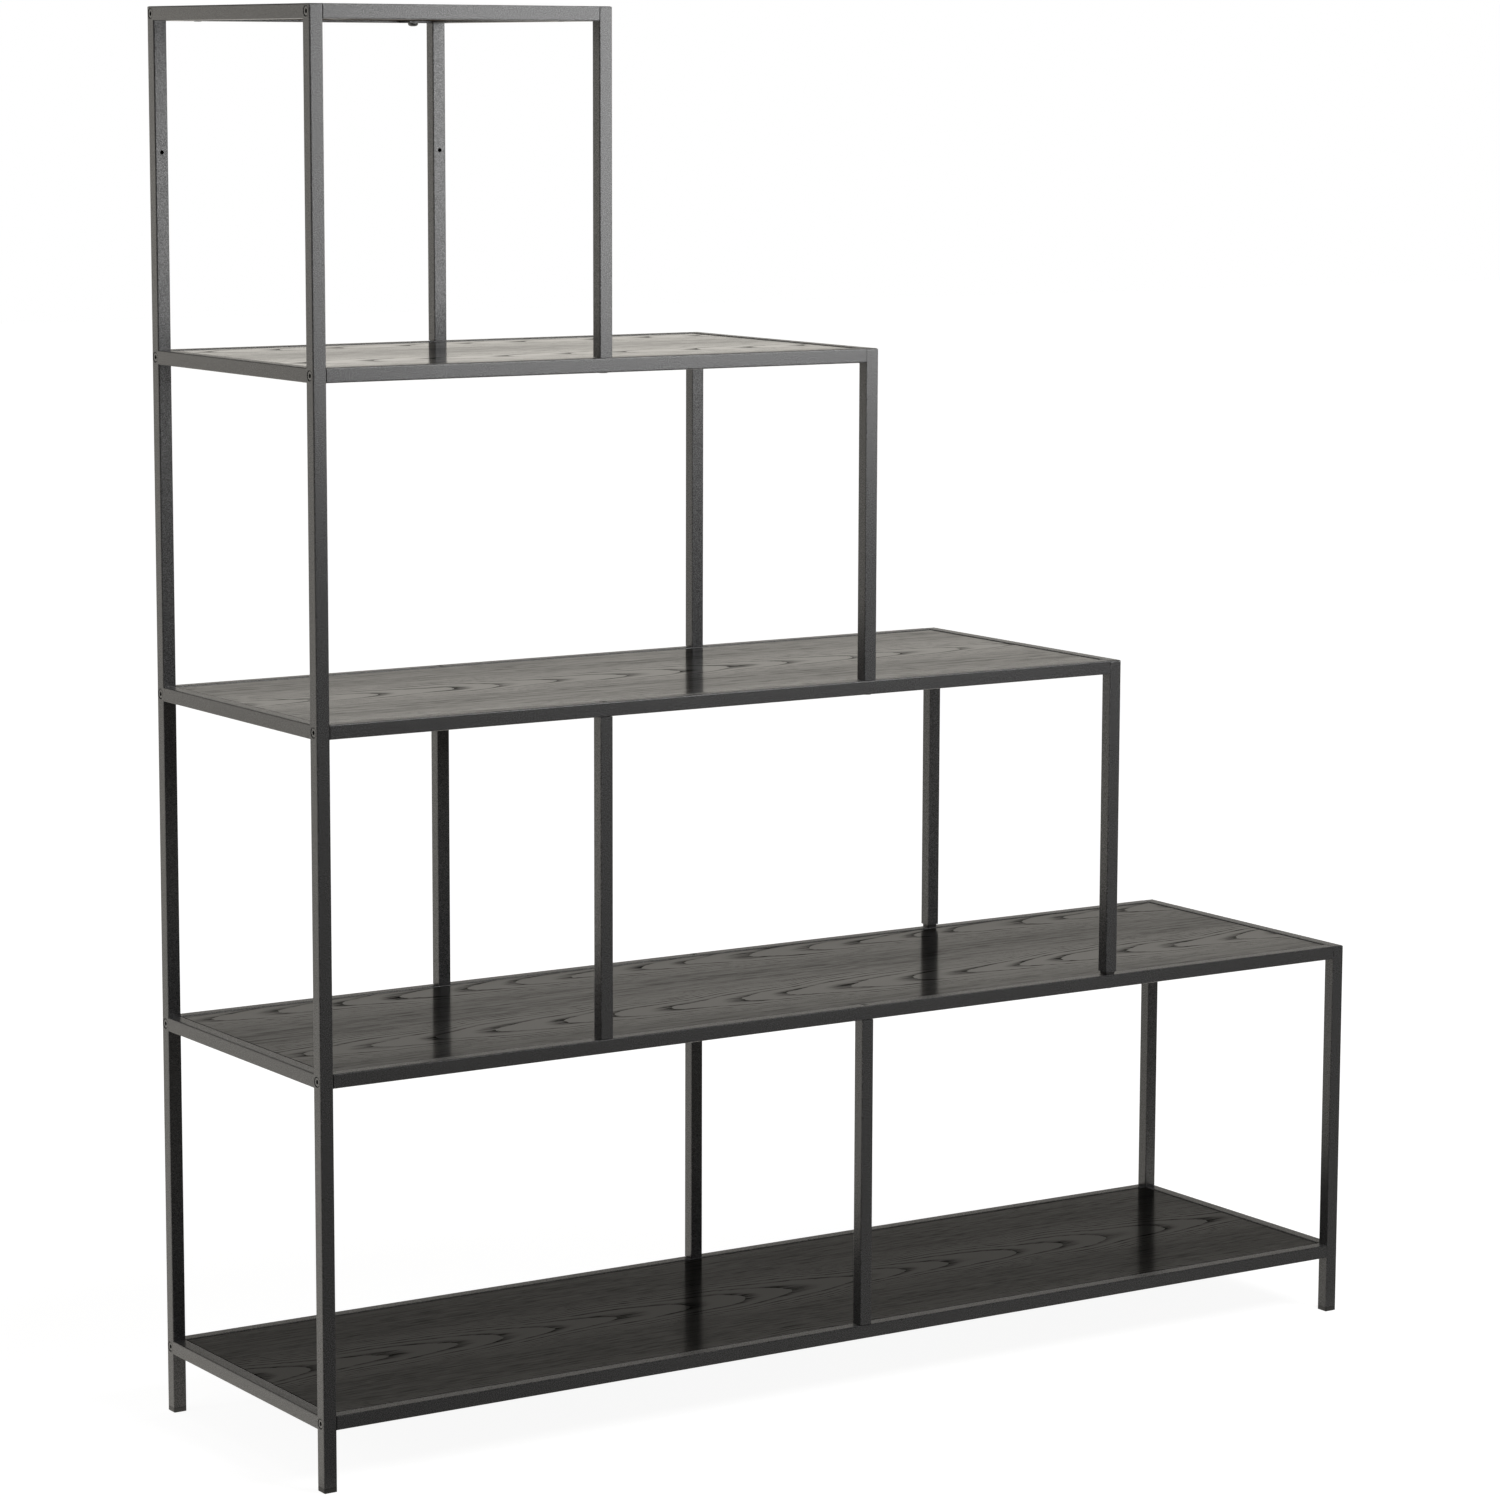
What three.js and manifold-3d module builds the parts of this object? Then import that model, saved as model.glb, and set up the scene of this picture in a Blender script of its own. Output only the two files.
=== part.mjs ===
// Staircase bookshelf: a bolted frame of square steel tube that holds five inset shelves, each
// one as long as the steps below it. Millimetres, +X from the tall end to the low end, +Y from
// the front to the wall, +Z up. The origin is on the floor at the centre of the outline.

import * as THREE from 'three';
import { mergeVertices } from 'three/addons/utils/BufferGeometryUtils.js';
import Module from 'manifold-3d';

const wasm = await Module();
wasm.setup();

// Layout of the shelf
const levelCount = 5;
const columnCount = 4;
const legHeight = 65;
const shelfPitch = 355;
const tallColumnWidth = 345;
const columnPitch = 330;
const shelfDepth = 360;

// Middle posts, each at a column and standing on a level, counted from 1
const middlePosts = [
  { column: 1, level: 2 },
  { column: 2, level: 1 },
];

// Square steel tube
const tube = 15;
const wall = 1.2;
const tubeCorner = 1.5;
const frameCorner = 2.5;
const ventRadius = 2.5;

// Clearances and cuts
const fitGap = 0.3;
const overrun = 1;

// Welded threaded plugs in the tube ends
const plugLength = 12;

// Countersunk socket screws through the posts into the rails
const sideScrew = {
  headRadius: 5.1,
  headRim: 0.6,
  shankRadius: 3,
  length: 25,
  socketWidth: 4,
  socketDepth: 2.2,
  sink: 0.3,
};
const sideBushRadius = 5.9;
const headClearance = 0.6;

// Longer screws of the same kind, up through a rail into a step post
const standingScrew = {
  headRadius: 5.1,
  headRim: 1,
  shankRadius: 3,
  length: 27,
  socketWidth: 4,
  socketDepth: 2.2,
  sink: -0.6,
};

// Small countersunk screws down through a rail into a middle post
const topScrew = {
  headRadius: 3.6,
  headRim: 0.4,
  shankRadius: 2,
  length: 24,
  socketWidth: 2.5,
  socketDepth: 1.6,
  sink: 0.2,
};
const topBushRadius = 4.6;

// Spigot at the foot of a middle post
const spigotRadius = 4;
const spigotLength = 9;

// Wall fixing holes through the two back posts of the top box
const fixingRadius = 2.3;
const fixingDrop = 150;

// Inset shelf panels and the steel tabs that carry them
const panelThickness = 12;
const panelMargin = 1.2;
const panelEdge = 0.5;
const tabThickness = 2;
const tabWidth = 20;
const tabReach = 22;
const tabInset = 30;
const tabHoleRadius = 2.3;

// Plastic foot inserts
const footHeight = 5.5;
const footRound = 2;
const footShankLength = 18;
const footFinThickness = 1.2;
const footFinHeight = 0.6;
const footFinCount = 3;

// Plastic spacers under the posts of the lowest step
const spacerThickness = 3;
const spacerInset = 1.4;

// Facets
const cornerFacets = 1;
const roundFacets = 12;
const smallFacets = 8;
const hiddenFacets = 6;
const socketSides = 6;

// Places worked out from the layout
const width = tallColumnWidth + (columnCount - 1) * columnPitch;
const bore = tube - 2 * wall;
const postOffset = (shelfDepth - tube) / 2;
const innerDepth = shelfDepth - 2 * tube;
const quarterTurn = Math.PI / 2;

const directions = {
  right: new THREE.Vector3(1, 0, 0),
  left: new THREE.Vector3(-1, 0, 0),
  back: new THREE.Vector3(0, 1, 0),
  front: new THREE.Vector3(0, -1, 0),
  up: new THREE.Vector3(0, 0, 1),
  down: new THREE.Vector3(0, 0, -1),
};

const sides = [
  { name: 'front', y: -1, inward: directions.back },
  { name: 'back', y: 1, inward: directions.front },
];

// Height of the top of a level's rails above the floor
function levelTop(level) {
  return legHeight + tube + (level - 1) * shelfPitch;
}

// Distance from the tall end's outer face to the centre of a column's post
function columnCentre(column) {
  if (column === 0) return tube / 2;
  return tallColumnWidth + (column - 1) * columnPitch - tube / 2;
}

// The same place measured from the origin
function columnX(column) {
  return columnCentre(column) - width / 2;
}

// The column where a level's rails end
function lastColumn(level) {
  return Math.min(columnCount, levelCount - level + 1);
}

// The level that the posts of a step stand on
function stepLevel(column) {
  return levelCount - column;
}

// Materials, one for each kind of surface
const finishes = {
  coatedSteel: { color: 0x474746, roughness: 0.55, metalness: 0.3 },
  ashPanel: { color: 0x57544e, roughness: 0.45, metalness: 0 },
  blackPlastic: { color: 0x131313, roughness: 0.6, metalness: 0 },
  screwSteel: { color: 0x5a5a58, roughness: 0.4, metalness: 0.7 },
};

// Changes a three.js geometry into a solid
function solidOf(geometry) {
  const bare = geometry.clone();
  bare.deleteAttribute('normal');
  bare.deleteAttribute('uv');
  const merged = mergeVertices(bare);
  const corners = merged.index.array;
  const triVerts = [];
  for (let i = 0; i < corners.length; i += 3) {
    const [a, b, c] = corners.slice(i, i + 3);
    if (a !== b && b !== c && c !== a) triVerts.push(a, b, c);
  }
  return new wasm.Manifold(new wasm.Mesh({
    numProp: 3,
    vertProperties: new Float32Array(merged.attributes.position.array),
    triVerts: new Uint32Array(triVerts),
  }));
}

// Changes a solid back into a three.js geometry
function geometryOf(solid) {
  const { vertProperties, triVerts } = solid.getMesh();
  const geometry = new THREE.BufferGeometry();
  geometry.setAttribute('position', new THREE.BufferAttribute(new Float32Array(vertProperties), 3));
  geometry.setIndex(new THREE.BufferAttribute(new Uint32Array(triVerts), 1));
  geometry.computeVertexNormals();
  return geometry;
}

// Turns a geometry that runs along +Z to a direction and moves its start to a place
function aimed(geometry, direction, start) {
  const turn = new THREE.Quaternion().setFromUnitVectors(directions.up, direction);
  return geometry.applyQuaternion(turn).translate(...start);
}

// A rectangle with round corners, centred on the origin
function roundedRectangle(across, along, radius) {
  const x = across / 2 - radius;
  const y = along / 2 - radius;
  const shape = new THREE.Shape();
  shape.absarc(x, y, radius, 0, quarterTurn);
  shape.absarc(-x, y, radius, quarterTurn, 2 * quarterTurn);
  shape.absarc(-x, -y, radius, 2 * quarterTurn, 3 * quarterTurn);
  shape.absarc(x, -y, radius, 3 * quarterTurn, 4 * quarterTurn);
  return shape;
}

// A prism of a shape, from a place along a direction
function prism(shape, direction, start, length) {
  const settings = { depth: length, bevelEnabled: false, curveSegments: cornerFacets };
  return solidOf(aimed(new THREE.ExtrudeGeometry(shape, settings), direction, start));
}

// The outside of a tube, a square core that fits its bore, and a plain block
function tubeBody(direction, start, length) {
  return prism(roundedRectangle(tube, tube, tubeCorner), direction, start, length);
}

function core(size, direction, start, length) {
  const geometry = new THREE.BoxGeometry(size, size, length).translate(0, 0, length / 2);
  return solidOf(aimed(geometry, direction, start));
}

function block(size, centre) {
  return solidOf(new THREE.BoxGeometry(...size).translate(...centre));
}

// A round rod or cone, from a place along a direction
function rod(radius, direction, start, length, facets = roundFacets, endRadius = radius) {
  const geometry = new THREE.CylinderGeometry(endRadius, radius, length, facets);
  geometry.rotateX(quarterTurn).translate(0, 0, length / 2);
  return solidOf(aimed(geometry, direction, start));
}

function joined(solids) {
  return solids.reduce((sum, solid) => sum.add(solid));
}

function cut(solid, cutters) {
  return cutters.reduce((rest, cutter) => rest.subtract(cutter), solid);
}

// Height of the cone under a screw's head, at 45 degrees
function coneHeight(screw) {
  return screw.headRadius - screw.shankRadius;
}

// A countersunk screw with a hexagon socket: its head's plane at z = 0, its shank along +Z
function screwGeometry(screw, facets) {
  const profile = [
    [0, 0],
    [screw.headRadius, 0],
    [screw.headRadius, screw.headRim],
    [screw.shankRadius, screw.headRim + coneHeight(screw)],
    [screw.shankRadius, screw.length],
    [0, screw.length],
  ];
  const points = profile.map(([radius, along]) => new THREE.Vector2(radius, along));
  const turned = new THREE.LatheGeometry(points, facets).rotateX(quarterTurn);
  const socketRadius = screw.socketWidth / Math.sqrt(3);
  const depth = screw.socketDepth + overrun;
  const socket = rod(socketRadius, directions.up, [0, 0, -overrun], depth, socketSides);
  return geometryOf(solidOf(turned).subtract(socket));
}

// A place moved some way along a direction
function moved(place, direction, distance) {
  return new THREE.Vector3(...place).addScaledVector(direction, distance).toArray();
}

// The hole for a screw, straight through a tube, with its countersink at the face it enters
function screwHole(screw, direction, face, facets) {
  const holeRadius = screw.shankRadius + fitGap;
  const mouthRadius = screw.headRadius + headClearance;
  const mouthDepth = screw.sink + screw.headRim + fitGap * Math.SQRT2 - headClearance;
  const outside = moved(face, direction, -overrun);
  const coneStart = moved(face, direction, mouthDepth);
  return joined([
    rod(holeRadius, direction, outside, tube + 2 * overrun, facets),
    rod(mouthRadius, direction, outside, mouthDepth + overrun, facets),
    rod(mouthRadius, direction, coneStart, mouthRadius - holeRadius, facets, holeRadius),
  ]);
}

// A bush across a tube that keeps a screw from crushing it, ending inside both walls
function bush(radius, direction, face, facets) {
  return rod(radius, direction, moved(face, direction, wall / 2), tube - wall, facets);
}

// The threaded hole of a welded plug, into a tube from its end
function plugHole(screw, direction, end, facets) {
  const start = moved(end, direction, -overrun);
  return rod(screw.shankRadius + fitGap, direction, start, plugLength + 2 * overrun, facets);
}

// The member across the top of a welded frame, with its outer corners ground round
function topMember(height) {
  const middle = height - tube / 2;
  const plan = roundedRectangle(tube, shelfDepth, tubeCorner);
  const side = roundedRectangle(2 * tube, shelfDepth, frameCorner);
  return tubeBody(directions.back, [0, -shelfDepth / 2, middle], shelfDepth)
    .intersect(prism(plan, directions.up, [0, 0, height - tube - overrun], tube + 2 * overrun))
    .intersect(prism(side, directions.right, [-tube, 0, height - tube], 2 * tube));
}

// A welded end frame: two posts, the member across their tops, and rails across lower down.
// Its side screws go in from the outward face, and it stands at z = 0.
function endFrame({ height, railTops, screwTops, outward, fixingHeight, plugged }) {
  const railEnd = innerDepth / 2;
  const memberTops = [...railTops, height];
  const members = [topMember(height)];
  const hollows = [];
  const fillings = [];
  const holes = [];
  for (const { y } of sides) {
    const postY = y * postOffset;
    members.push(tubeBody(directions.up, [0, postY, 0], height - tube / 2));
    const boreStart = plugged ? plugLength : -overrun;
    hollows.push(core(bore, directions.up, [0, postY, boreStart], height - wall - boreStart));
    if (plugged) holes.push(plugHole(standingScrew, directions.up, [0, postY, 0], smallFacets));
  }
  for (const top of railTops) {
    const start = [0, -railEnd - tubeCorner - fitGap, top - tube / 2];
    members.push(tubeBody(directions.back, start, innerDepth + 2 * (tubeCorner + fitGap)));
  }
  for (const top of memberTops) {
    const middle = top - tube / 2;
    hollows.push(core(bore, directions.back, [0, -railEnd, middle], innerDepth));
    const ventReach = railEnd + wall + fitGap;
    hollows.push(rod(ventRadius, directions.back, [0, -ventReach, middle], 2 * ventReach, hiddenFacets));
  }
  const inward = outward.clone().negate();
  for (const top of screwTops) {
    for (const { y } of sides) {
      const face = moved([0, y * postOffset, top - tube / 2], outward, tube / 2);
      fillings.push(bush(sideBushRadius, inward, face, smallFacets));
      holes.push(screwHole(sideScrew, inward, face, roundFacets));
    }
  }
  if (fixingHeight) {
    const start = [0, shelfDepth / 2 - tube - overrun, fixingHeight];
    holes.push(rod(fixingRadius, directions.back, start, tube + 2 * overrun, smallFacets));
  }
  return geometryOf(cut(cut(joined(members), hollows).add(joined(fillings)), holes));
}

// What meets a level's rails between their ends, as places along them and what happens there
function railJoints(level) {
  const joints = [];
  for (let column = 1; column < columnCount; column += 1) {
    if (stepLevel(column) === level) joints.push({ kind: 'standing', at: columnCentre(column) });
  }
  for (const post of middlePosts) {
    if (post.level === level) joints.push({ kind: 'socket', at: columnCentre(post.column) });
    if (post.level + 1 === level) joints.push({ kind: 'hanging', at: columnCentre(post.column) });
  }
  return joints;
}

// Length of a level's rails between the faces of the posts at their ends
function railLength(level) {
  return columnCentre(lastColumn(level)) - columnCentre(0) - tube - 2 * fitGap;
}

// Places of the panel tabs along a rail: near both ends, and at each column between
function tabPlaces(level, length) {
  const places = [tabInset, length - tabInset];
  for (let column = 1; column < lastColumn(level); column += 1) {
    places.push(columnCentre(column) - tube - fitGap);
  }
  return places;
}

// A tab for the panel, its underside level with the rail's
function panelTab(along, inward) {
  const depth = tabReach + wall / 2;
  const reach = (tube - wall + depth) / 2;
  const holeReach = tube / 2 + tabReach / 2;
  const bottom = -tube / 2;
  const plate = block([tabWidth, depth, tabThickness], [along, reach * inward.y, bottom + tabThickness / 2]);
  const place = [along, holeReach * inward.y, bottom - overrun];
  return plate.subtract(rod(tabHoleRadius, directions.up, place, tabThickness + 2 * overrun, hiddenFacets));
}

// A rail along the shelf, from x = 0, centred on its own axis
function shelfRail(level, inward) {
  const length = railLength(level);
  const tabs = tabPlaces(level, length).map((along) => panelTab(along, inward));
  const fillings = [...tabs];
  const holes = [
    plugHole(sideScrew, directions.right, [0, 0, 0], smallFacets),
    plugHole(sideScrew, directions.left, [length, 0, 0], smallFacets),
  ];
  for (const { kind, at } of railJoints(level)) {
    const along = at - tube - fitGap;
    const top = [along, 0, tube / 2];
    const bottom = [along, 0, -tube / 2];
    if (kind === 'standing') {
      fillings.push(bush(sideBushRadius, directions.up, bottom, smallFacets));
      holes.push(screwHole(standingScrew, directions.up, bottom, roundFacets));
    }
    if (kind === 'hanging') {
      fillings.push(bush(topBushRadius, directions.down, top, smallFacets));
      holes.push(screwHole(topScrew, directions.down, top, roundFacets));
    }
    if (kind === 'socket') {
      holes.push(rod(spigotRadius + fitGap, directions.down, moved(top, directions.up, overrun),
        wall + 2 * overrun, smallFacets));
    }
  }
  const hollow = core(bore, directions.right, [plugLength, 0, 0], length - 2 * plugLength);
  const body = tubeBody(directions.right, [0, 0, 0], length);
  return geometryOf(cut(body.subtract(hollow).add(joined(fillings)), holes));
}

// Length of a middle post between the rails below and above it
function middlePostLength() {
  return shelfPitch - tube - 2 * fitGap;
}

// A middle post, standing at z = 0, with a spigot below and a threaded plug at the top
function middlePost() {
  const length = middlePostLength();
  const hollow = core(bore, directions.up, [0, 0, plugLength], length - 2 * plugLength);
  const spigotTop = plugLength / 2;
  const spigot = rod(spigotRadius, directions.up, [0, 0, -spigotLength], spigotLength + spigotTop, smallFacets);
  const body = tubeBody(directions.up, [0, 0, 0], length).subtract(hollow).add(spigot);
  return geometryOf(body.subtract(plugHole(topScrew, directions.down, [0, 0, length], smallFacets)));
}

// Size of a level's panel along the shelf and across it
function panelSize(level) {
  const along = columnCentre(lastColumn(level)) - columnCentre(0) - tube - 2 * panelMargin;
  return [along, innerDepth - 2 * panelMargin];
}

// A shelf panel, its underside at z = 0 and its edges slightly broken
function shelfPanel(level) {
  const [along, across] = panelSize(level);
  const face = roundedRectangle(along - 2 * panelEdge, across - 2 * panelEdge, panelEdge);
  const geometry = new THREE.ExtrudeGeometry(face, {
    depth: panelThickness - 2 * panelEdge,
    bevelThickness: panelEdge,
    bevelSize: panelEdge,
    bevelSegments: 1,
    curveSegments: 1,
  });
  return geometryOf(solidOf(geometry.translate(0, 0, panelEdge)));
}

// A foot: a head as wide as the tube, round below, and a finned shank that grips its bore
function foot() {
  const plan = roundedRectangle(tube, tube, tubeCorner);
  const fromFront = roundedRectangle(tube, 2 * footHeight, footRound);
  const fromSide = roundedRectangle(2 * footHeight, tube, footRound);
  const length = tube + 2 * overrun;
  const solids = [
    prism(plan, directions.up, [0, 0, 0], footHeight)
      .intersect(prism(fromFront, directions.back, [0, -length / 2, footHeight], length))
      .intersect(prism(fromSide, directions.right, [-length / 2, 0, footHeight], length)),
    core(bore - 2 * (fitGap + footFinHeight), directions.up, [0, 0, footHeight - overrun], footShankLength + overrun),
  ];
  const finSpacing = footShankLength / (footFinCount + 1);
  for (let fin = 1; fin <= footFinCount; fin += 1) {
    const start = [0, 0, footHeight + fin * finSpacing];
    solids.push(core(bore - 2 * fitGap, directions.up, start, footFinThickness));
  }
  return geometryOf(joined(solids));
}

// A spacer under a step post, a little narrower than the tube, with room for the screw
function spacer() {
  const size = tube - 2 * spacerInset;
  const plan = roundedRectangle(size, size, tubeCorner);
  const hole = rod(standingScrew.shankRadius + fitGap, directions.up, [0, 0, -overrun],
    spacerThickness + 2 * overrun, smallFacets);
  return geometryOf(prism(plan, directions.up, [0, 0, 0], spacerThickness).subtract(hole));
}

const sideScrewGeometry = screwGeometry(sideScrew, roundFacets);
const standingScrewGeometry = screwGeometry(standingScrew, roundFacets);
const topScrewGeometry = screwGeometry(topScrew, smallFacets);

const shelf = new THREE.Group();

// Adds one sub-part, with its own +Z turned to a direction
function add(name, geometry, finish, place, direction = directions.up) {
  const part = new THREE.Mesh(geometry, new THREE.MeshStandardMaterial(finishes[finish]));
  part.name = name;
  part.position.set(...place);
  part.quaternion.setFromUnitVectors(directions.up, direction);
  shelf.add(part);
}

// The floor-standing frames at the two ends
function addEndFrames() {
  const base = footHeight + fitGap;
  const ends = [
    { name: 'left_end_frame', column: 0, outward: directions.left },
    { name: 'right_end_frame', column: columnCount, outward: directions.right },
  ];
  for (const { name, column, outward } of ends) {
    const topLevel = column === 0 ? levelCount : stepLevel(column) + 1;
    const tops = [];
    for (let level = 1; level <= topLevel; level += 1) tops.push(levelTop(level) - base);
    const height = tops[topLevel - 1];
    const geometry = endFrame({
      height,
      railTops: tops.slice(0, -1),
      screwTops: tops,
      outward,
      fixingHeight: column === 0 ? height - fixingDrop : 0,
      plugged: false,
    });
    add(name, geometry, 'coatedSteel', [columnX(column), 0, base]);
    for (const side of sides) {
      const end = column === 0 ? 'left' : 'right';
      const place = [columnX(column), side.y * postOffset, 0];
      add(`foot_${end}_${side.name}`, foot(), 'blackPlastic', place);
    }
  }
}

// The frames that stand on the rails and end each step, with the screws that hold them down
function addStepFrames() {
  for (let column = 1; column < columnCount; column += 1) {
    const level = stepLevel(column);
    const spaced = column === columnCount - 1;
    const seat = levelTop(level) + fitGap;
    const base = spaced ? seat + spacerThickness + fitGap : seat;
    const height = levelTop(level + 1) - base;
    const geometry = endFrame({
      height,
      railTops: [],
      screwTops: [height],
      outward: directions.right,
      fixingHeight: column === 1 ? height - fixingDrop : 0,
      plugged: true,
    });
    add(`step_frame_${column}`, geometry, 'coatedSteel', [columnX(column), 0, base]);
    for (const side of sides) {
      const y = side.y * postOffset;
      const headPlace = [columnX(column), y, levelTop(level) - tube + standingScrew.sink];
      add(`step_${column}_${side.name}_screw`, standingScrewGeometry, 'screwSteel', headPlace);
      if (spaced) {
        add(`step_${column}_${side.name}_spacer`, spacer(), 'blackPlastic', [columnX(column), y, seat]);
      }
    }
  }
}

// The rails along the front and back of each level, and the screws into their ends
function addRails() {
  for (let level = 1; level <= levelCount; level += 1) {
    const height = levelTop(level) - tube / 2;
    for (const side of sides) {
      const y = side.y * postOffset;
      const start = columnX(0) + tube / 2 + fitGap;
      const name = `shelf_${level}_${side.name}`;
      add(`${name}_rail`, shelfRail(level, side.inward), 'coatedSteel', [start, y, height]);
      const reach = tube / 2 - sideScrew.sink;
      const leftHead = [columnX(0) - reach, y, height];
      const rightHead = [columnX(lastColumn(level)) + reach, y, height];
      add(`${name}_left_screw`, sideScrewGeometry, 'screwSteel', leftHead, directions.right);
      add(`${name}_right_screw`, sideScrewGeometry, 'screwSteel', rightHead, directions.left);
    }
  }
}

// The posts that hold up the middle of the long shelves, and the screws into their tops
function addMiddlePosts() {
  const geometry = middlePost();
  for (const { column, level } of middlePosts) {
    for (const side of sides) {
      const x = columnX(column);
      const y = side.y * postOffset;
      const name = `middle_post_${column}_${side.name}`;
      const headPlace = [x, y, levelTop(level + 1) - topScrew.sink];
      add(name, geometry, 'coatedSteel', [x, y, levelTop(level) + fitGap]);
      add(`${name}_screw`, topScrewGeometry, 'screwSteel', headPlace, directions.down);
    }
  }
}

// The inset panels, lying on their tabs
function addPanels() {
  for (let level = 1; level <= levelCount; level += 1) {
    const x = (columnX(0) + columnX(lastColumn(level))) / 2;
    const height = levelTop(level) - tube + tabThickness + fitGap;
    add(`shelf_${level}_panel`, shelfPanel(level), 'ashPanel', [x, 0, height]);
  }
}

addEndFrames();
addStepFrames();
addRails();
addMiddlePosts();
addPanels();

export default shelf;
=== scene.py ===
"""Looks of the staircase bookshelf: textured black steel, dark ash panels, plastic feet and screws.

Metres, in the part's own frame: +X from the tall end to the low end, +Y from the front to the
wall, +Z up, with the floor at z = 0.
"""

import math

import bmesh
import bpy
from mathutils import Matrix, Vector


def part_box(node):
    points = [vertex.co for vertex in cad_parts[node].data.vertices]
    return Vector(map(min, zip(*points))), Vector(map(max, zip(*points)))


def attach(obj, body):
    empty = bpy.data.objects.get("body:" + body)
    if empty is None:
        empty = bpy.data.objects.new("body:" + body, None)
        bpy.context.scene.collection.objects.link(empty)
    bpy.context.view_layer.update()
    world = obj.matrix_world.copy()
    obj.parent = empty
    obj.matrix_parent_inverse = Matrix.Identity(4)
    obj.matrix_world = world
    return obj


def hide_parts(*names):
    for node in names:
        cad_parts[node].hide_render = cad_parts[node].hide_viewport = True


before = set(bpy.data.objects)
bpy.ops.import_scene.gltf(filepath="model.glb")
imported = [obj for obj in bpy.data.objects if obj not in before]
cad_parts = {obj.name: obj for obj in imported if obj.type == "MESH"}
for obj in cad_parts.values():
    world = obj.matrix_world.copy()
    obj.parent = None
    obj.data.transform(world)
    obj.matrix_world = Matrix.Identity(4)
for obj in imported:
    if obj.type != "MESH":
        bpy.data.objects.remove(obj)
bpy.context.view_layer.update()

# The camera that took the photograph, as a place, three turns in degrees and a lens in millimetres
CAMERA_PLACE = Vector((-2.8191, -4.2749, 1.4400))
CAMERA_YAW = 33.061
CAMERA_PITCH = 8.305
CAMERA_ROLL = 0.182
CAMERA_LENS = 112.344
CAMERA_SENSOR = 36.0

MILLIMETRE = 0.001

# Lamps: each has a place, the point it is aimed at, its two sizes, its brightness, where a white
# card that fills the view has a brightness of 1, and whether gloss mirrors it
LAMPS = {
    "key": ((0.495, -1.268, 1.859), (0.375, 0.232, 1.859), (1.38, 1.71), 6.0, True),
    "left": ((-3.6, -0.3, 1.2), (0.0, 0.0, 1.0), (2.4, 2.4), 1.2, False),
    "top": ((0.0, 0.0, 3.6), (0.0, 0.0, 0.0), (3.0, 2.0), 0.8, False),
}

# World: the fill that diffuse rays meet, and the screen behind the shelf that gloss mirrors. The
# screen darkens from its brightness to a share of it between two heights in degrees, and again
# towards its left end, given as X of the direction. SCREEN_SIDE is the Y between before and behind
WORLD_FILL = 0.1
WARM_WHITE = (1.0, 0.96, 0.885, 1.0)
PURE_WHITE = (1.0, 1.0, 1.0, 1.0)
SCREEN_BRIGHTNESS = 1.7
SCREEN_TOP = (-2.5, 16.2)
SCREEN_DARK = 0.12
SCREEN_END = (-0.82, -0.46)
SCREEN_END_SHARE = 0.05
SCREEN_BEFORE = 0.12
SCREEN_SIDE = (-0.1, 0.2)

# Floor: its colour, the glow that makes it white to the camera, and what gloss mirrors in it, with
# the distances over which each changes
FLOOR_SIZE = 40.0
FLOOR_COLOUR = (0.3, 0.3, 0.3, 1.0)
FLOOR_GLOW = (0.93, 1.0)
FLOOR_GLOW_REACH = (0.8, 2.0)
FLOOR_EDGE = (-0.25, -0.1)
FLOOR_MIRRORED_BEHIND = (1.25, 1.15)
FLOOR_BEHIND_REACH = (0.8, 3.0)
FLOOR_MIRRORED_BEFORE = (0.05, 0.3)
FLOOR_BEFORE_REACH = (-1.0, 0.0)

# Copies of the CAD nodes with round-looking edges: points nearer than this are one, and so are
# faces that turn less than this. A face is flat from one cosine on, and beside a bevel from another
WELD_DISTANCE = 0.005 * MILLIMETRE
FLAT_ANGLE = math.radians(1.0)
FLAT_COSINE = 0.999
BEVEL_COSINE = 0.5

# The range that most of a noise's values lie in
MOST_NOISE = (0.3, 0.7)

# Powder coat: black with brighter specks, over a grain of this size. SPECK_NOISE is the range of
# noise in which the black turns to a speck. The specular level goes from that of the black to
# that of a speck, and the roughness from a dip of the grain to a top
COATING_COLOUR = (0.017, 0.017, 0.0174, 1.0)
SPECK_COLOUR = (0.070, 0.070, 0.0718, 1.0)
COATING_GRAIN = 1.2 * MILLIMETRE
SPECK_FINENESS = 1.3
SPECK_NOISE = (0.4, 0.66)
COATING_SPECULAR = (0.36, 0.7)
COATING_ROUGHNESS = (0.27, 0.35)
COATING_RELIEF = 0.12 * MILLIMETRE
COATING_RELIEF_SHARE = 0.9

# Ash veneer: growth rings that nest as tongues in rows, and how the arms of a tongue part from its
# tip. What varies has the waves of its noise per metre, along, across and down
ROW_PITCH = 0.210
ROW_SWAY = 0.012
ROW_SWAY_WAVES = (3.0, 0.0, 0.0)
ROW_REACH = (0.046, 0.080)
ROW_LEAN = 0.12
TONGUE_PITCH = 0.075
TONGUE_HALF_WIDTH = 0.027
TONGUE_PINCH = (0.8, 1.15)
TONGUE_PINCH_NOISE = (0.35, 0.65)
TONGUE_PINCH_WAVES = (4.5, 0.0, 0.0)
TONGUE_POWER = 2.3
TONGUE_SPREAD = 1.2
TONGUE_SPREAD_WAVES = (9.0, 0.0, 0.0)
RING_WANDER = 0.22
RING_WANDER_WAVES = (14.0, 60.0, 0.0)

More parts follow.
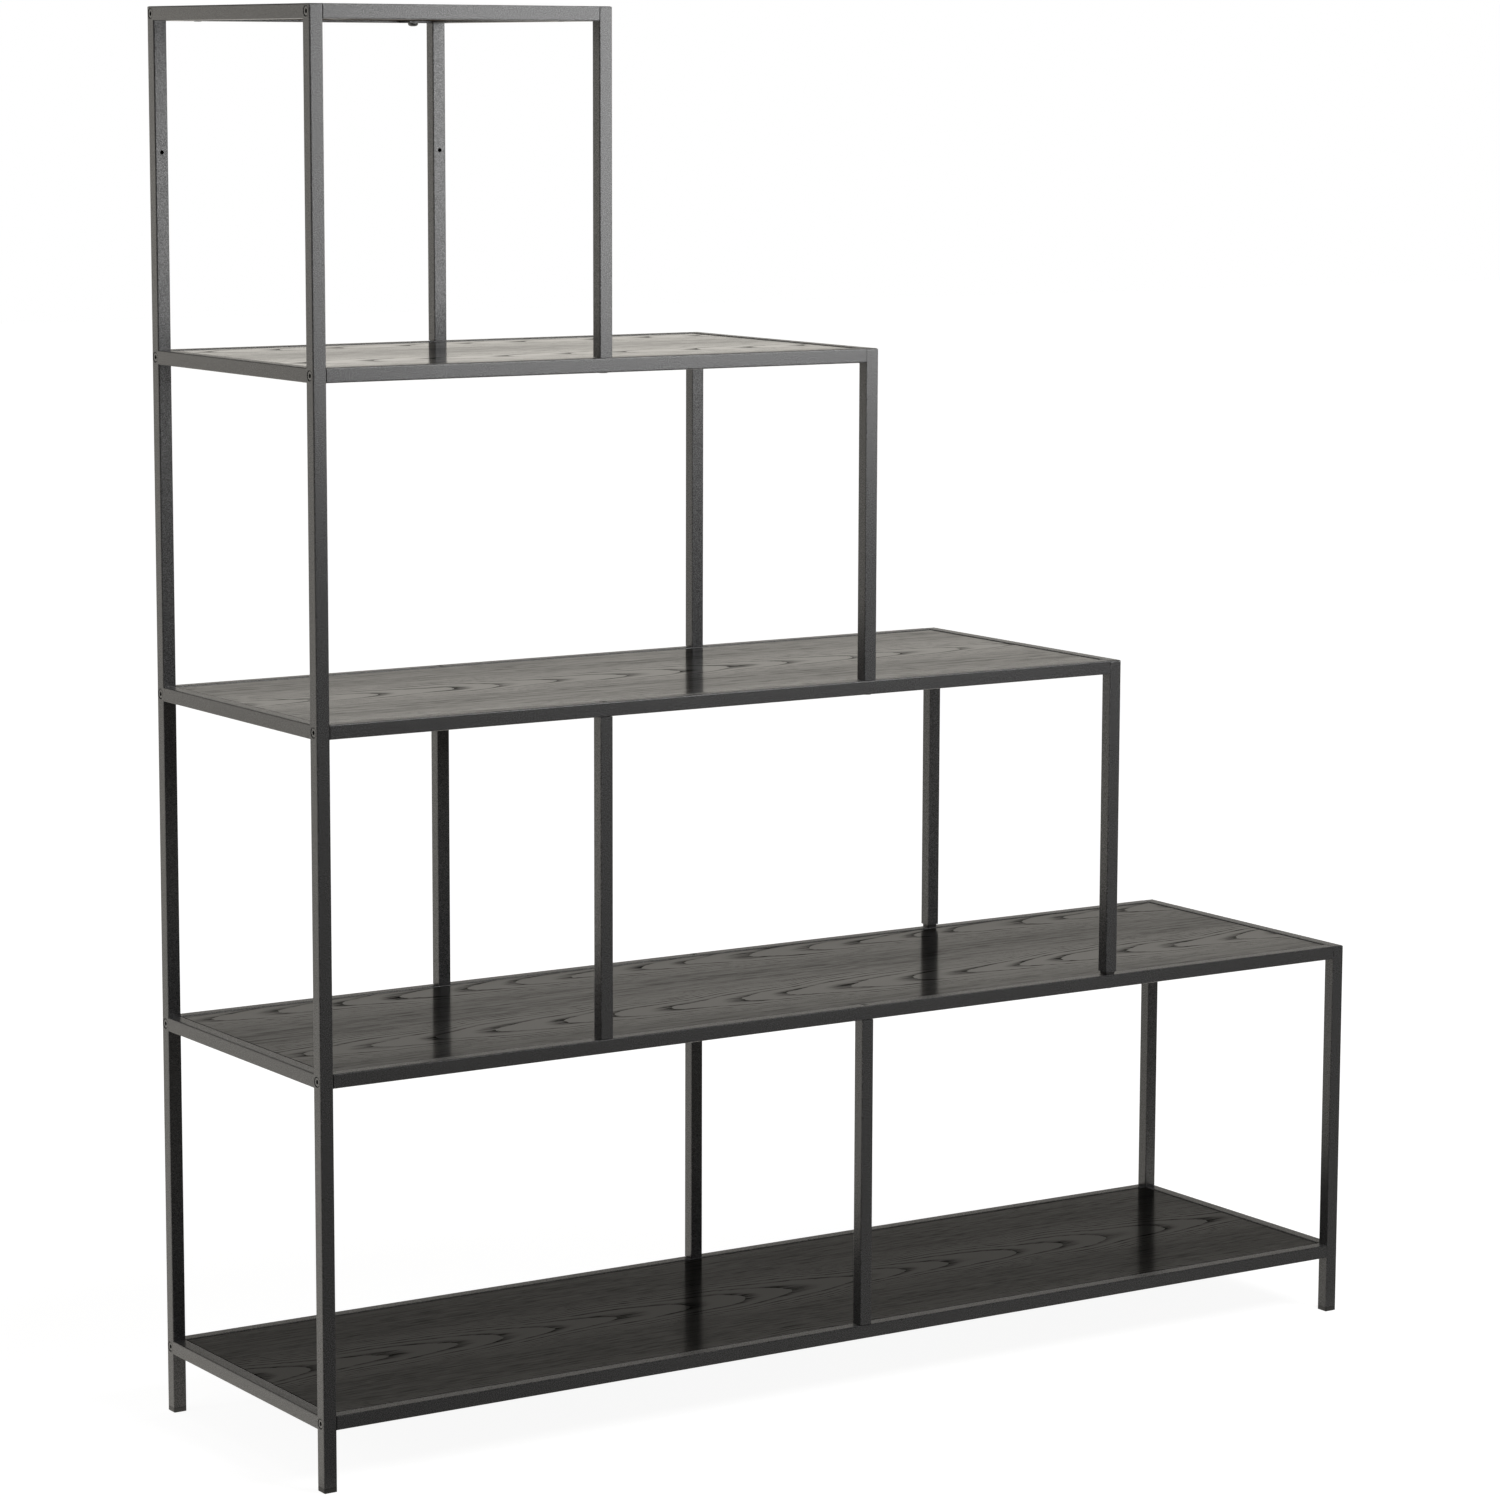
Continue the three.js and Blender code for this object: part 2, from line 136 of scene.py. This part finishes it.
# The pores: a share of them in a line along each ring's edge, a share that fades into the ring,
# and an even share in the straight grain between the rows. Fine dashes and longer streaks break
# them up: each has its waves, the range of its noise, and the shares of the pores that this gives
RING_LINE = 0.10
RING_LINE_PORES = 0.2
RING_FADE = 0.45
RING_FADE_PORES = 0.6
STRAIGHT_PORES = 0.26
DASH_WAVES = (36.0, 760.0, 1.0)
DASH_NOISE = (0.32, 0.68)
DASH_PORES = (0.2, 1.8)
STREAK_WAVES = (6.0, 330.0, 1.0)
STREAK_NOISE = (0.34, 0.66)
STREAK_PORES = (0.45, 1.55)
PORE_RELIEF = 0.006 * MILLIMETRE
PORE_RELIEF_SHARE = 0.3

# Stained wood under a thin varnish, and the plain brown backing on the underside, which is where
# a face's normal points down further than UNDERSIDE
ASH_COLOUR = (0.014, 0.0128, 0.0112, 1.0)
ASH_PORE_COLOUR = (0.0040, 0.0036, 0.0032, 1.0)
ASH_PORE_ROUGHNESS = 0.5
ASH_ROUGHNESS = 0.28
ASH_SPECULAR = 0.012
VARNISH_WEIGHT = 0.55
VARNISH_ROUGHNESS = 0.12
BACKING_COLOUR = (0.15, 0.115, 0.092, 1.0)
BACKING_ROUGHNESS = 0.75
UNDERSIDE = -0.5

# Each panel's veneer: the place of a row across the panel, the way its tips point, 1 for +X and
# -1 for -X, and a number that makes its pattern its own
VENEERS = {
    "shelf_1_panel": (-0.006, 1, 1.7),
    "shelf_2_panel": (-0.076, -1, 5.3),
    "shelf_3_panel": (0.004, 1, 9.1),
    "shelf_4_panel": (-0.09, -1, 13.9),
    "shelf_5_panel": (0.0, 1, 17.3),
}

# Moulded plastic, and blackened screws that are worn a little brighter, with the grain of each in
# waves per metre
PLASTIC_COLOUR = (0.012, 0.012, 0.012, 1.0)
PLASTIC_GRAIN = 1400.0
PLASTIC_ROUGHNESS = (0.4, 0.55)
PLASTIC_RELIEF = 0.03 * MILLIMETRE
PLASTIC_RELIEF_SHARE = 0.5
SCREW_COLOUR = (0.07, 0.07, 0.068, 1.0)
SCREW_WORN_COLOUR = (0.14, 0.14, 0.136, 1.0)
SCREW_WORN_NOISE = (0.35, 0.7)
SCREW_GRAIN = 2500.0
SCREW_METALLIC = 0.3
SCREW_ROUGHNESS = (0.24, 0.36)
SCREW_RELIEF = 0.02 * MILLIMETRE
SCREW_RELIEF_SHARE = 0.4

# Turned screws: the points of a ring, the small bevels in millimetres, and the least sharp edge
SCREW_STEPS = 36
SCREW_EDGE = 0.3
SHARP_ANGLE = math.radians(32.0)

# The holes in the rails' tabs: how far from a rail's end and from its side, and a column's width
TAB_INSET = 0.030
TAB_HOLE = 0.011
COLUMN_PITCH = 0.330


class Graph:
    """The shader nodes of one material or world."""

    def __init__(self, owner):
        owner.use_nodes = True
        self.tree = owner.node_tree
        self.tree.nodes.clear()

    def add(self, kind, inputs=(), **settings):
        node = self.tree.nodes.new(kind)
        for name, value in settings.items():
            setattr(node, name, value)
        for name, value in dict(inputs).items():
            self.give(node.inputs[name], value)
        return node

    def give(self, socket, value):
        if isinstance(value, bpy.types.NodeSocket):
            self.tree.links.new(value, socket)
        else:
            socket.default_value = value

    def math(self, operation, first, second=0.0, third=0.0, clamp=False):
        inputs = {0: first, 1: second, 2: third}
        return self.add("ShaderNodeMath", inputs, operation=operation, use_clamp=clamp).outputs[0]

    def times(self, first, second, clamp=False):
        return self.math("MULTIPLY", first, second, clamp=clamp)

    def times_plus(self, first, second, third):
        return self.math("MULTIPLY_ADD", first, second, third)

    def between(self, value, low, high, start=0.0, end=1.0):
        """The value as it runs from low to high, changed smoothly to start to end."""
        inputs = {"Value": value, "From Min": low, "From Max": high, "To Min": start, "To Max": end}
        return self.add("ShaderNodeMapRange", inputs, interpolation_type="SMOOTHSTEP").outputs[0]

    def mixed(self, share, first, second):
        """A number between two, by a share."""
        inputs = {"Factor": share, "A": first, "B": second}
        return self.add("ShaderNodeMix", inputs, data_type="FLOAT").outputs["Result"]

    def colour(self, share, first, second):
        """A colour between two, by a share."""
        node = self.add("ShaderNodeMix", data_type="RGBA")
        for index, value in ((0, share), (6, first), (7, second)):
            self.give(node.inputs[index], value)
        return node.outputs[2]

    def parts(self, vector):
        """The X, Y and Z of a vector."""
        return self.add("ShaderNodeSeparateXYZ", {"Vector": vector}).outputs

    def place(self, scale=(1.0, 1.0, 1.0), shift=(0.0, 0.0, 0.0)):
        """The place on the part, stretched by a scale along each axis and then shifted."""
        where = self.add("ShaderNodeTexCoord").outputs["Object"]
        inputs = {"Vector": where, "Scale": scale, "Location": shift}
        return self.add("ShaderNodeMapping", inputs, vector_type="POINT").outputs[0]

    def noise(self, vector, scale=1.0, detail=2.0, roughness=0.5):
        inputs = {"Vector": vector, "Scale": scale, "Detail": detail, "Roughness": roughness}
        return self.add("ShaderNodeTexNoise", inputs).outputs["Fac"]

    def bump(self, height, distance, strength):
        inputs = {"Height": height, "Distance": distance, "Strength": strength}
        return self.add("ShaderNodeBump", inputs).outputs[0]

    def principled(self, **inputs):
        names = {name.replace("_", " "): value for name, value in inputs.items()}
        return self.add("ShaderNodeBsdfPrincipled", names).outputs[0]

    def blend(self, share, first, second):
        """A surface between two, by a share."""
        return self.add("ShaderNodeMixShader", {0: share, 1: first, 2: second}).outputs[0]

    def show(self, surface):
        self.add("ShaderNodeOutputMaterial", {"Surface": surface})


def coated_steel():
    """Black powder coat with a fine texture."""
    material = bpy.data.materials.new("textured_black_coating")
    graph = Graph(material)
    where = graph.place()
    grain = graph.noise(where, 1.0 / COATING_GRAIN, 1.0, 0.6)
    speck = graph.between(graph.noise(where, SPECK_FINENESS / COATING_GRAIN, 2.0), *SPECK_NOISE)
    graph.show(graph.principled(
        Base_Color=graph.colour(speck, COATING_COLOUR, SPECK_COLOUR),
        Specular_IOR_Level=graph.mixed(speck, *COATING_SPECULAR),
        Roughness=graph.between(grain, *MOST_NOISE, *COATING_ROUGHNESS),
        Normal=graph.bump(grain, COATING_RELIEF, COATING_RELIEF_SHARE),
    ))
    return material


def growth_rings(graph, row, way, seed):
    """Where in its ring each place on the veneer lies, 0 to 1, and how far it is from a row."""
    along, across, _ = graph.parts(graph.place())
    sway = graph.noise(graph.place(ROW_SWAY_WAVES, (seed, 0.0, 0.0)), detail=1.0)
    spread = graph.noise(graph.place(TONGUE_SPREAD_WAVES, (0.0, seed, 0.0)), detail=1.0)
    pinch = graph.noise(graph.place(TONGUE_PINCH_WAVES, (seed, 0.0, 0.0)), detail=1.0)
    wander = graph.place(RING_WANDER_WAVES, (seed, seed, 0.0))
    wander = graph.noise(wander, detail=3.0, roughness=0.55)

    side = graph.times_plus(sway, ROW_SWAY, graph.math("SUBTRACT", across, row + ROW_SWAY / 2))
    side = graph.math("WRAP", side, -ROW_PITCH / 2, ROW_PITCH / 2)
    side = graph.times_plus(side, -ROW_LEAN, graph.math("ABSOLUTE", side))

    pinch = graph.between(pinch, *TONGUE_PINCH_NOISE, *TONGUE_PINCH)
    half_width = graph.times(pinch, TONGUE_HALF_WIDTH)
    arms = graph.math("POWER", graph.math("DIVIDE", side, half_width), TONGUE_POWER)
    turns = graph.times_plus(along, way / TONGUE_PITCH, arms)
    turns = graph.times_plus(spread, TONGUE_SPREAD, turns)
    turns = graph.times_plus(wander, RING_WANDER, turns)
    return graph.math("FRACT", turns), side


def ash_panel(name, row, way, seed):
    """Dark stained ash on top, and a plain backing below."""
    material = bpy.data.materials.new(f"ash_of_{name}")
    graph = Graph(material)
    ring, side = growth_rings(graph, row, way, seed)
    line = graph.between(ring, 0.0, RING_LINE, RING_LINE_PORES, 0.0)
    fade = graph.between(ring, 0.0, RING_FADE, RING_FADE_PORES, 0.0)
    rings = graph.math("ADD", fade, line)
    in_row = graph.between(side, *ROW_REACH, 1.0, 0.0)
    porous = graph.mixed(in_row, STRAIGHT_PORES, rings)

    dashes = graph.noise(graph.place(DASH_WAVES, (0.0, seed, 0.0)), roughness=0.6)
    streaks = graph.noise(graph.place(STREAK_WAVES, (seed, 0.0, 0.0)), roughness=0.6)
    broken = graph.times(graph.between(dashes, *DASH_NOISE, *DASH_PORES), porous)
    streaky = graph.between(streaks, *STREAK_NOISE, *STREAK_PORES)
    dark = graph.times(streaky, broken, clamp=True)

    facing = graph.parts(graph.add("ShaderNodeNewGeometry").outputs["Normal"])
    under = graph.math("LESS_THAN", facing[2], UNDERSIDE)
    above = graph.math("SUBTRACT", 1.0, under)
    wood = graph.principled(
        Base_Color=graph.colour(under, ASH_COLOUR, BACKING_COLOUR),
        Roughness=graph.mixed(under, ASH_ROUGHNESS, BACKING_ROUGHNESS),
        Specular_IOR_Level=ASH_SPECULAR,
        Coat_Weight=graph.times(above, VARNISH_WEIGHT),
        Coat_Roughness=VARNISH_ROUGHNESS,
        Normal=graph.bump(dashes, PORE_RELIEF, PORE_RELIEF_SHARE),
    )
    pores = graph.principled(
        Base_Color=ASH_PORE_COLOUR,
        Roughness=ASH_PORE_ROUGHNESS,
        Specular_IOR_Level=0.0,
    )
    graph.show(graph.blend(graph.times(dark, above), wood, pores))
    return material


def black_plastic():
    """Moulded, slightly rough."""
    material = bpy.data.materials.new("moulded_black_plastic")
    graph = Graph(material)
    grain = graph.noise(graph.place(), PLASTIC_GRAIN)
    graph.show(graph.principled(
        Base_Color=PLASTIC_COLOUR,
        Roughness=graph.between(grain, *MOST_NOISE, *PLASTIC_ROUGHNESS),
        Normal=graph.bump(grain, PLASTIC_RELIEF, PLASTIC_RELIEF_SHARE),
    ))
    return material


def screw_steel():
    """Blackened steel, worn a little brighter."""
    material = bpy.data.materials.new("blackened_screw_steel")
    graph = Graph(material)
    grain = graph.noise(graph.place(), SCREW_GRAIN, 3.0)
    worn = graph.between(grain, *SCREW_WORN_NOISE)
    graph.show(graph.principled(
        Base_Color=graph.colour(worn, SCREW_COLOUR, SCREW_WORN_COLOUR),
        Metallic=SCREW_METALLIC,
        Roughness=graph.between(grain, *MOST_NOISE, *SCREW_ROUGHNESS),
        Normal=graph.bump(grain, SCREW_RELIEF, SCREW_RELIEF_SHARE),
    ))
    return material


def is_flat(face):
    """Whether a face lies square to an axis, so that it isn't a bevel."""
    return max(abs(part) for part in face.normal) > FLAT_COSINE


def corner_normal(corner):
    """The normal to show at one corner of a face: on a bevel, that of the flat face beside it."""
    face = corner.face
    if is_flat(face):
        return face.normal.copy()
    edges = sorted((corner.edge, corner.link_loop_prev.edge), key=lambda edge: -edge.calc_length())
    for edge in edges:
        for other in edge.link_faces:
            beside = other is not face and is_flat(other)
            if beside and other.normal.dot(face.normal) > BEVEL_COSINE:
                return other.normal.copy()
    return face.normal.copy()


def round_copy(node):
    """A copy of a node whose bevels are shaded as round edges."""
    mesh = node.data.copy()
    work = bmesh.new()
    work.from_mesh(mesh)
    bmesh.ops.remove_doubles(work, verts=work.verts, dist=WELD_DISTANCE)
    bmesh.ops.dissolve_limit(work, angle_limit=FLAT_ANGLE, verts=work.verts, edges=work.edges)
    work.normal_update()
    normals = [corner_normal(corner) for face in work.faces for corner in face.loops]
    work.to_mesh(mesh)
    work.free()
    mesh.shade_smooth()
    mesh.normals_split_custom_set(normals)
    return linked(f"{node.name}_shown", mesh)


def linked(name, mesh):
    """A new object of a mesh, in the scene."""
    made = bpy.data.objects.new(name, mesh)
    bpy.context.scene.collection.objects.link(made)
    return made


def countersunk(head, rim, shank, length, socket, socket_depth):
    """Rings of a countersunk socket screw. See turned_screw for what a ring is."""
    half_socket = socket / 2
    return (
        (half_socket, socket_depth, True),
        (half_socket, SCREW_EDGE, True),
        (half_socket + SCREW_EDGE, 0.0, True),
        (head - SCREW_EDGE, 0.0, False),
        (head, SCREW_EDGE, False),
        (head, rim, False),
        (shank, rim + head - shank, False),
        (shank, length - SCREW_EDGE, False),
        (shank - SCREW_EDGE, length, False),
    )


# Screws in the end frames' sides, under the standing posts, and in the rails above the middle posts
SIDE_SCREW = countersunk(4.7, 0.6, 3.0, 25.0, 4.0, 2.2)
STANDING_SCREW = countersunk(5.1, 1.0, 3.0, 27.0, 4.0, 2.2)
TOP_SCREW = countersunk(3.6, 0.4, 2.0, 24.0, 3.0, 1.6)

# Screws that hold the panels to the tabs, and how far each head reaches below its tab. In the photo
# a dome hangs under the top shelf, near the right end of its back rail, and nothing hangs under the
# rest of the rails, so the other heads are low
DOMED_SCREW = (
    (1.5, 2.4, True),
    (1.5, 0.2, True),
    (2.1, 0.0, False),
    (3.6, 0.35, False),
    (4.9, 1.2, False),
    (5.5, 2.4, False),
    (5.6, 3.5, False),
    (1.9, 3.55, False),
    (1.9, 5.4, False),
)
DOMED_HEAD = 3.6 * MILLIMETRE
LOW_SCREW = (
    (1.5, 1.3, True),
    (1.5, 0.1, True),
    (1.9, 0.0, False),
    (3.9, 0.1, False),
    (4.2, 0.5, False),
    (1.9, 0.55, False),
    (1.9, 2.4, False),
)
LOW_HEAD = 0.6 * MILLIMETRE


def ring_points(radius, depth, hexagonal):
    """Points of one ring: a circle, or a hexagon whose flats lie at that radius."""
    points = []
    for index in range(SCREW_STEPS):
        angle = 2 * math.pi * index / SCREW_STEPS
        reach = radius / math.cos(angle % (math.pi / 3) - math.pi / 6) if hexagonal else radius
        points.append(Vector((reach * math.cos(angle), reach * math.sin(angle), depth)))
    return points


def turned_screw(name, rings, place, direction):
    """A screw with a round head and a clean socket, from a place at the top of its head.

    The rings run from the bottom of the socket over the head to the tip. Each has a radius, a
    depth from the top of the head, both in millimetres, and whether it is a hexagon.
    """
    turn = Vector(direction).to_track_quat("Z", "Y")
    work = bmesh.new()
    loops = []
    for radius, depth, hexagonal in rings:
        points = ring_points(radius * MILLIMETRE, depth * MILLIMETRE, hexagonal)
        loops.append([work.verts.new(Vector(place) + turn @ point) for point in points])
    for first, second in zip(loops, loops[1:]):
        for index in range(SCREW_STEPS):
            following = (index + 1) % SCREW_STEPS
            work.faces.new((first[index], first[following], second[following], second[index]))
    work.faces.new(loops[0])
    work.faces.new(loops[-1])
    bmesh.ops.recalc_face_normals(work, faces=work.faces)
    mesh = bpy.data.meshes.new(name)
    work.to_mesh(mesh)
    work.free()
    mesh.shade_smooth()
    mesh.set_sharp_from_angle(angle=SHARP_ANGLE)
    return linked(name, mesh)


def screw_copy(node):
    """The finer screw for a node, its kind and place taken from the node's name and its box."""
    low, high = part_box(node.name)
    x, y, z = (Vector(low) + Vector(high)) / 2
    shown = f"{node.name}_shown"
    if node.name.startswith("step"):
        return turned_screw(shown, STANDING_SCREW, (x, y, low[2]), (0.0, 0.0, 1.0))
    if node.name.startswith("middle"):
        return turned_screw(shown, TOP_SCREW, (x, y, high[2]), (0.0, 0.0, -1.0))
    if "_left_" in node.name:
        return turned_screw(shown, SIDE_SCREW, (low[0], y, z), (1.0, 0.0, 0.0))
    return turned_screw(shown, SIDE_SCREW, (high[0], y, z), (-1.0, 0.0, 0.0))


def tab_screws(rail, material, lit):
    """Screws in the holes of a rail's tabs: near its ends, and at each column between."""
    low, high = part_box(rail)
    front = "_front_" in rail
    across = high[1] - TAB_HOLE if front else low[1] + TAB_HOLE
    columns = round((high[0] - low[0]) / COLUMN_PITCH)
    first = (low[0] + high[0]) / 2 - columns * COLUMN_PITCH / 2
    left_end = low[0] + TAB_INSET
    right_end = high[0] - TAB_INSET
    inner = [first + index * COLUMN_PITCH for index in range(1, columns)]
    for index, along in enumerate([left_end, right_end, *inner], start=1):
        domed = along == right_end and not front
        rings = DOMED_SCREW if domed else LOW_SCREW
        top = low[2] - (DOMED_HEAD if domed else LOW_HEAD)
        name = f"{rail}_tab_screw_{index}"
        piece = turned_screw(name, rings, (along, across, top), (0.0, 0.0, 1.0))
        piece.data.materials.append(material)
        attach(piece, "root")
        lit.objects.link(piece)


def dress(lit):
    """Puts a finished copy in each node's place, and all but the panels in the key lamp's light."""
    finishes = {
        "coated_steel": coated_steel(),
        "black_plastic": black_plastic(),
        "screw_steel": screw_steel(),
    }
    panels = {name: ash_panel(name, *veneer) for name, veneer in VENEERS.items()}
    for name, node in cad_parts.items():
        slot = slot_of(name)
        piece = screw_copy(node) if slot == "screw_steel" else round_copy(node)
        piece.data.materials.clear()
        piece.data.materials.append(panels[name] if name in panels else finishes[slot])
        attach(piece, "root")
        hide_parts(name)
        if name not in panels:
            lit.objects.link(piece)
        if name.endswith("_rail"):
            tab_screws(name, finishes["screw_steel"], lit)


def slot_of(name):
    """The record's material slot that a node has."""
    if name.endswith("_panel"):
        return "ash_panel"
    if name.endswith("_screw"):
        return "screw_steel"
    if name.startswith("foot") or name.endswith("_spacer"):
        return "black_plastic"
    return "coated_steel"


def set_world():
    """White to the camera, a low fill for the surfaces, and a screen for their gloss to mirror."""
    world = bpy.data.worlds.new("studio")
    bpy.context.scene.world = world
    graph = Graph(world)
    path = graph.add("ShaderNodeLightPath").outputs
    x, y, z = graph.parts(graph.add("ShaderNodeTexCoord").outputs["Generated"])
    height = graph.times(graph.math("ARCSINE", z), 180.0 / math.pi)
    dark = SCREEN_DARK * SCREEN_BRIGHTNESS
    screen = graph.between(height, *SCREEN_TOP, SCREEN_BRIGHTNESS, dark)
    behind = graph.times(screen, graph.between(x, *SCREEN_END, SCREEN_END_SHARE, 1.0))
    mirrored = graph.mixed(graph.between(y, *SCREEN_SIDE), SCREEN_BEFORE, behind)
    level = graph.mixed(path["Is Glossy Ray"], WORLD_FILL, mirrored)
    seen = graph.math("MAXIMUM", path["Is Camera Ray"], path["Is Transmission Ray"])
    level = graph.mixed(seen, level, 1.0)
    tint = graph.colour(seen, WARM_WHITE, PURE_WHITE)
    background = graph.add("ShaderNodeBackground", {"Color": tint, "Strength": level})
    graph.add("ShaderNodeOutputWorld", {"Surface": background.outputs[0]})


def add_floor(lit):
    """A wide pale floor that shows white where nothing shades it, and that is clear from below."""
    half = FLOOR_SIZE / 2
    corners = [(-half, -half, 0.0), (half, -half, 0.0), (half, half, 0.0), (-half, half, 0.0)]
    mesh = bpy.data.meshes.new("floor")
    mesh.from_pydata(corners, [], [(0, 1, 2, 3)])
    floor = linked("floor", mesh)
    material = bpy.data.materials.new("pale_floor")
    graph = Graph(material)
    path = graph.add("ShaderNodeLightPath").outputs
    place = graph.place()
    side, depth, _ = graph.parts(place)
    distance = graph.add("ShaderNodeVectorMath", {0: place}, operation="LENGTH").outputs["Value"]

    behind = graph.between(depth, *FLOOR_BEHIND_REACH, *FLOOR_MIRRORED_BEHIND)
    before = graph.between(side, *FLOOR_BEFORE_REACH, *FLOOR_MIRRORED_BEFORE)
    mirrored = graph.mixed(graph.between(depth, *FLOOR_EDGE), before, behind)
    mirrored = graph.times(mirrored, path["Is Glossy Ray"])
    shown = graph.between(distance, *FLOOR_GLOW_REACH, *FLOOR_GLOW)
    level = graph.mixed(path["Is Camera Ray"], mirrored, shown)
    tint = graph.colour(path["Is Camera Ray"], WARM_WHITE, PURE_WHITE)

    plain = graph.add("ShaderNodeBsdfDiffuse", {"Color": FLOOR_COLOUR}).outputs[0]
    glow = graph.add("ShaderNodeEmission", {"Color": tint, "Strength": level}).outputs[0]
    both = graph.add("ShaderNodeAddShader", {0: plain, 1: glow}).outputs[0]
    clear = graph.add("ShaderNodeBsdfTransparent").outputs[0]
    below = graph.add("ShaderNodeNewGeometry").outputs["Backfacing"]
    graph.show(graph.blend(below, both, clear))
    mesh.materials.append(material)
    lit.objects.link(floor)


def add_lamps(lit):
    """The lamps. The mirrored one leaves the panels out, so that they stay dark from behind."""
    for name, (place, aim, size, brightness, mirrored) in LAMPS.items():
        data = bpy.data.lights.new(name, "AREA")
        data.shape = "RECTANGLE"
        data.size, data.size_y = size
        data.energy = brightness * math.pi * data.size * data.size_y
        lamp = bpy.data.objects.new(name, data)
        lamp.location = place
        lamp.visible_camera = False
        lamp.visible_glossy = mirrored
        if mirrored:
            lamp.light_linking.receiver_collection = lit
        lamp.rotation_mode = "QUATERNION"
        lamp.rotation_quaternion = (Vector(aim) - Vector(place)).to_track_quat("-Z", "Y")
        bpy.context.scene.collection.objects.link(lamp)


def add_camera():
    """Level turn, then tip, then roll, as the photograph was taken."""
    yaw, pitch, roll = (math.radians(turn) for turn in (CAMERA_YAW, CAMERA_PITCH, CAMERA_ROLL))
    level_turn = Matrix.Rotation(-yaw, 4, "Z")
    tip = Matrix.Rotation(math.pi / 2 - pitch, 4, "X")
    turn = level_turn @ tip @ Matrix.Rotation(roll, 4, "Z")
    data = bpy.data.cameras.new("camera")
    data.lens = CAMERA_LENS
    data.sensor_width = CAMERA_SENSOR
    camera = bpy.data.objects.new("camera", data)
    camera.matrix_world = Matrix.Translation(CAMERA_PLACE) @ turn
    bpy.context.scene.collection.objects.link(camera)
    bpy.context.scene.camera = camera


add_camera()
bpy.context.scene.view_settings.view_transform = "Standard"
key_lit = bpy.data.collections.new("lit_by_key")
set_world()
add_floor(key_lit)
add_lamps(key_lit)
dress(key_lit)
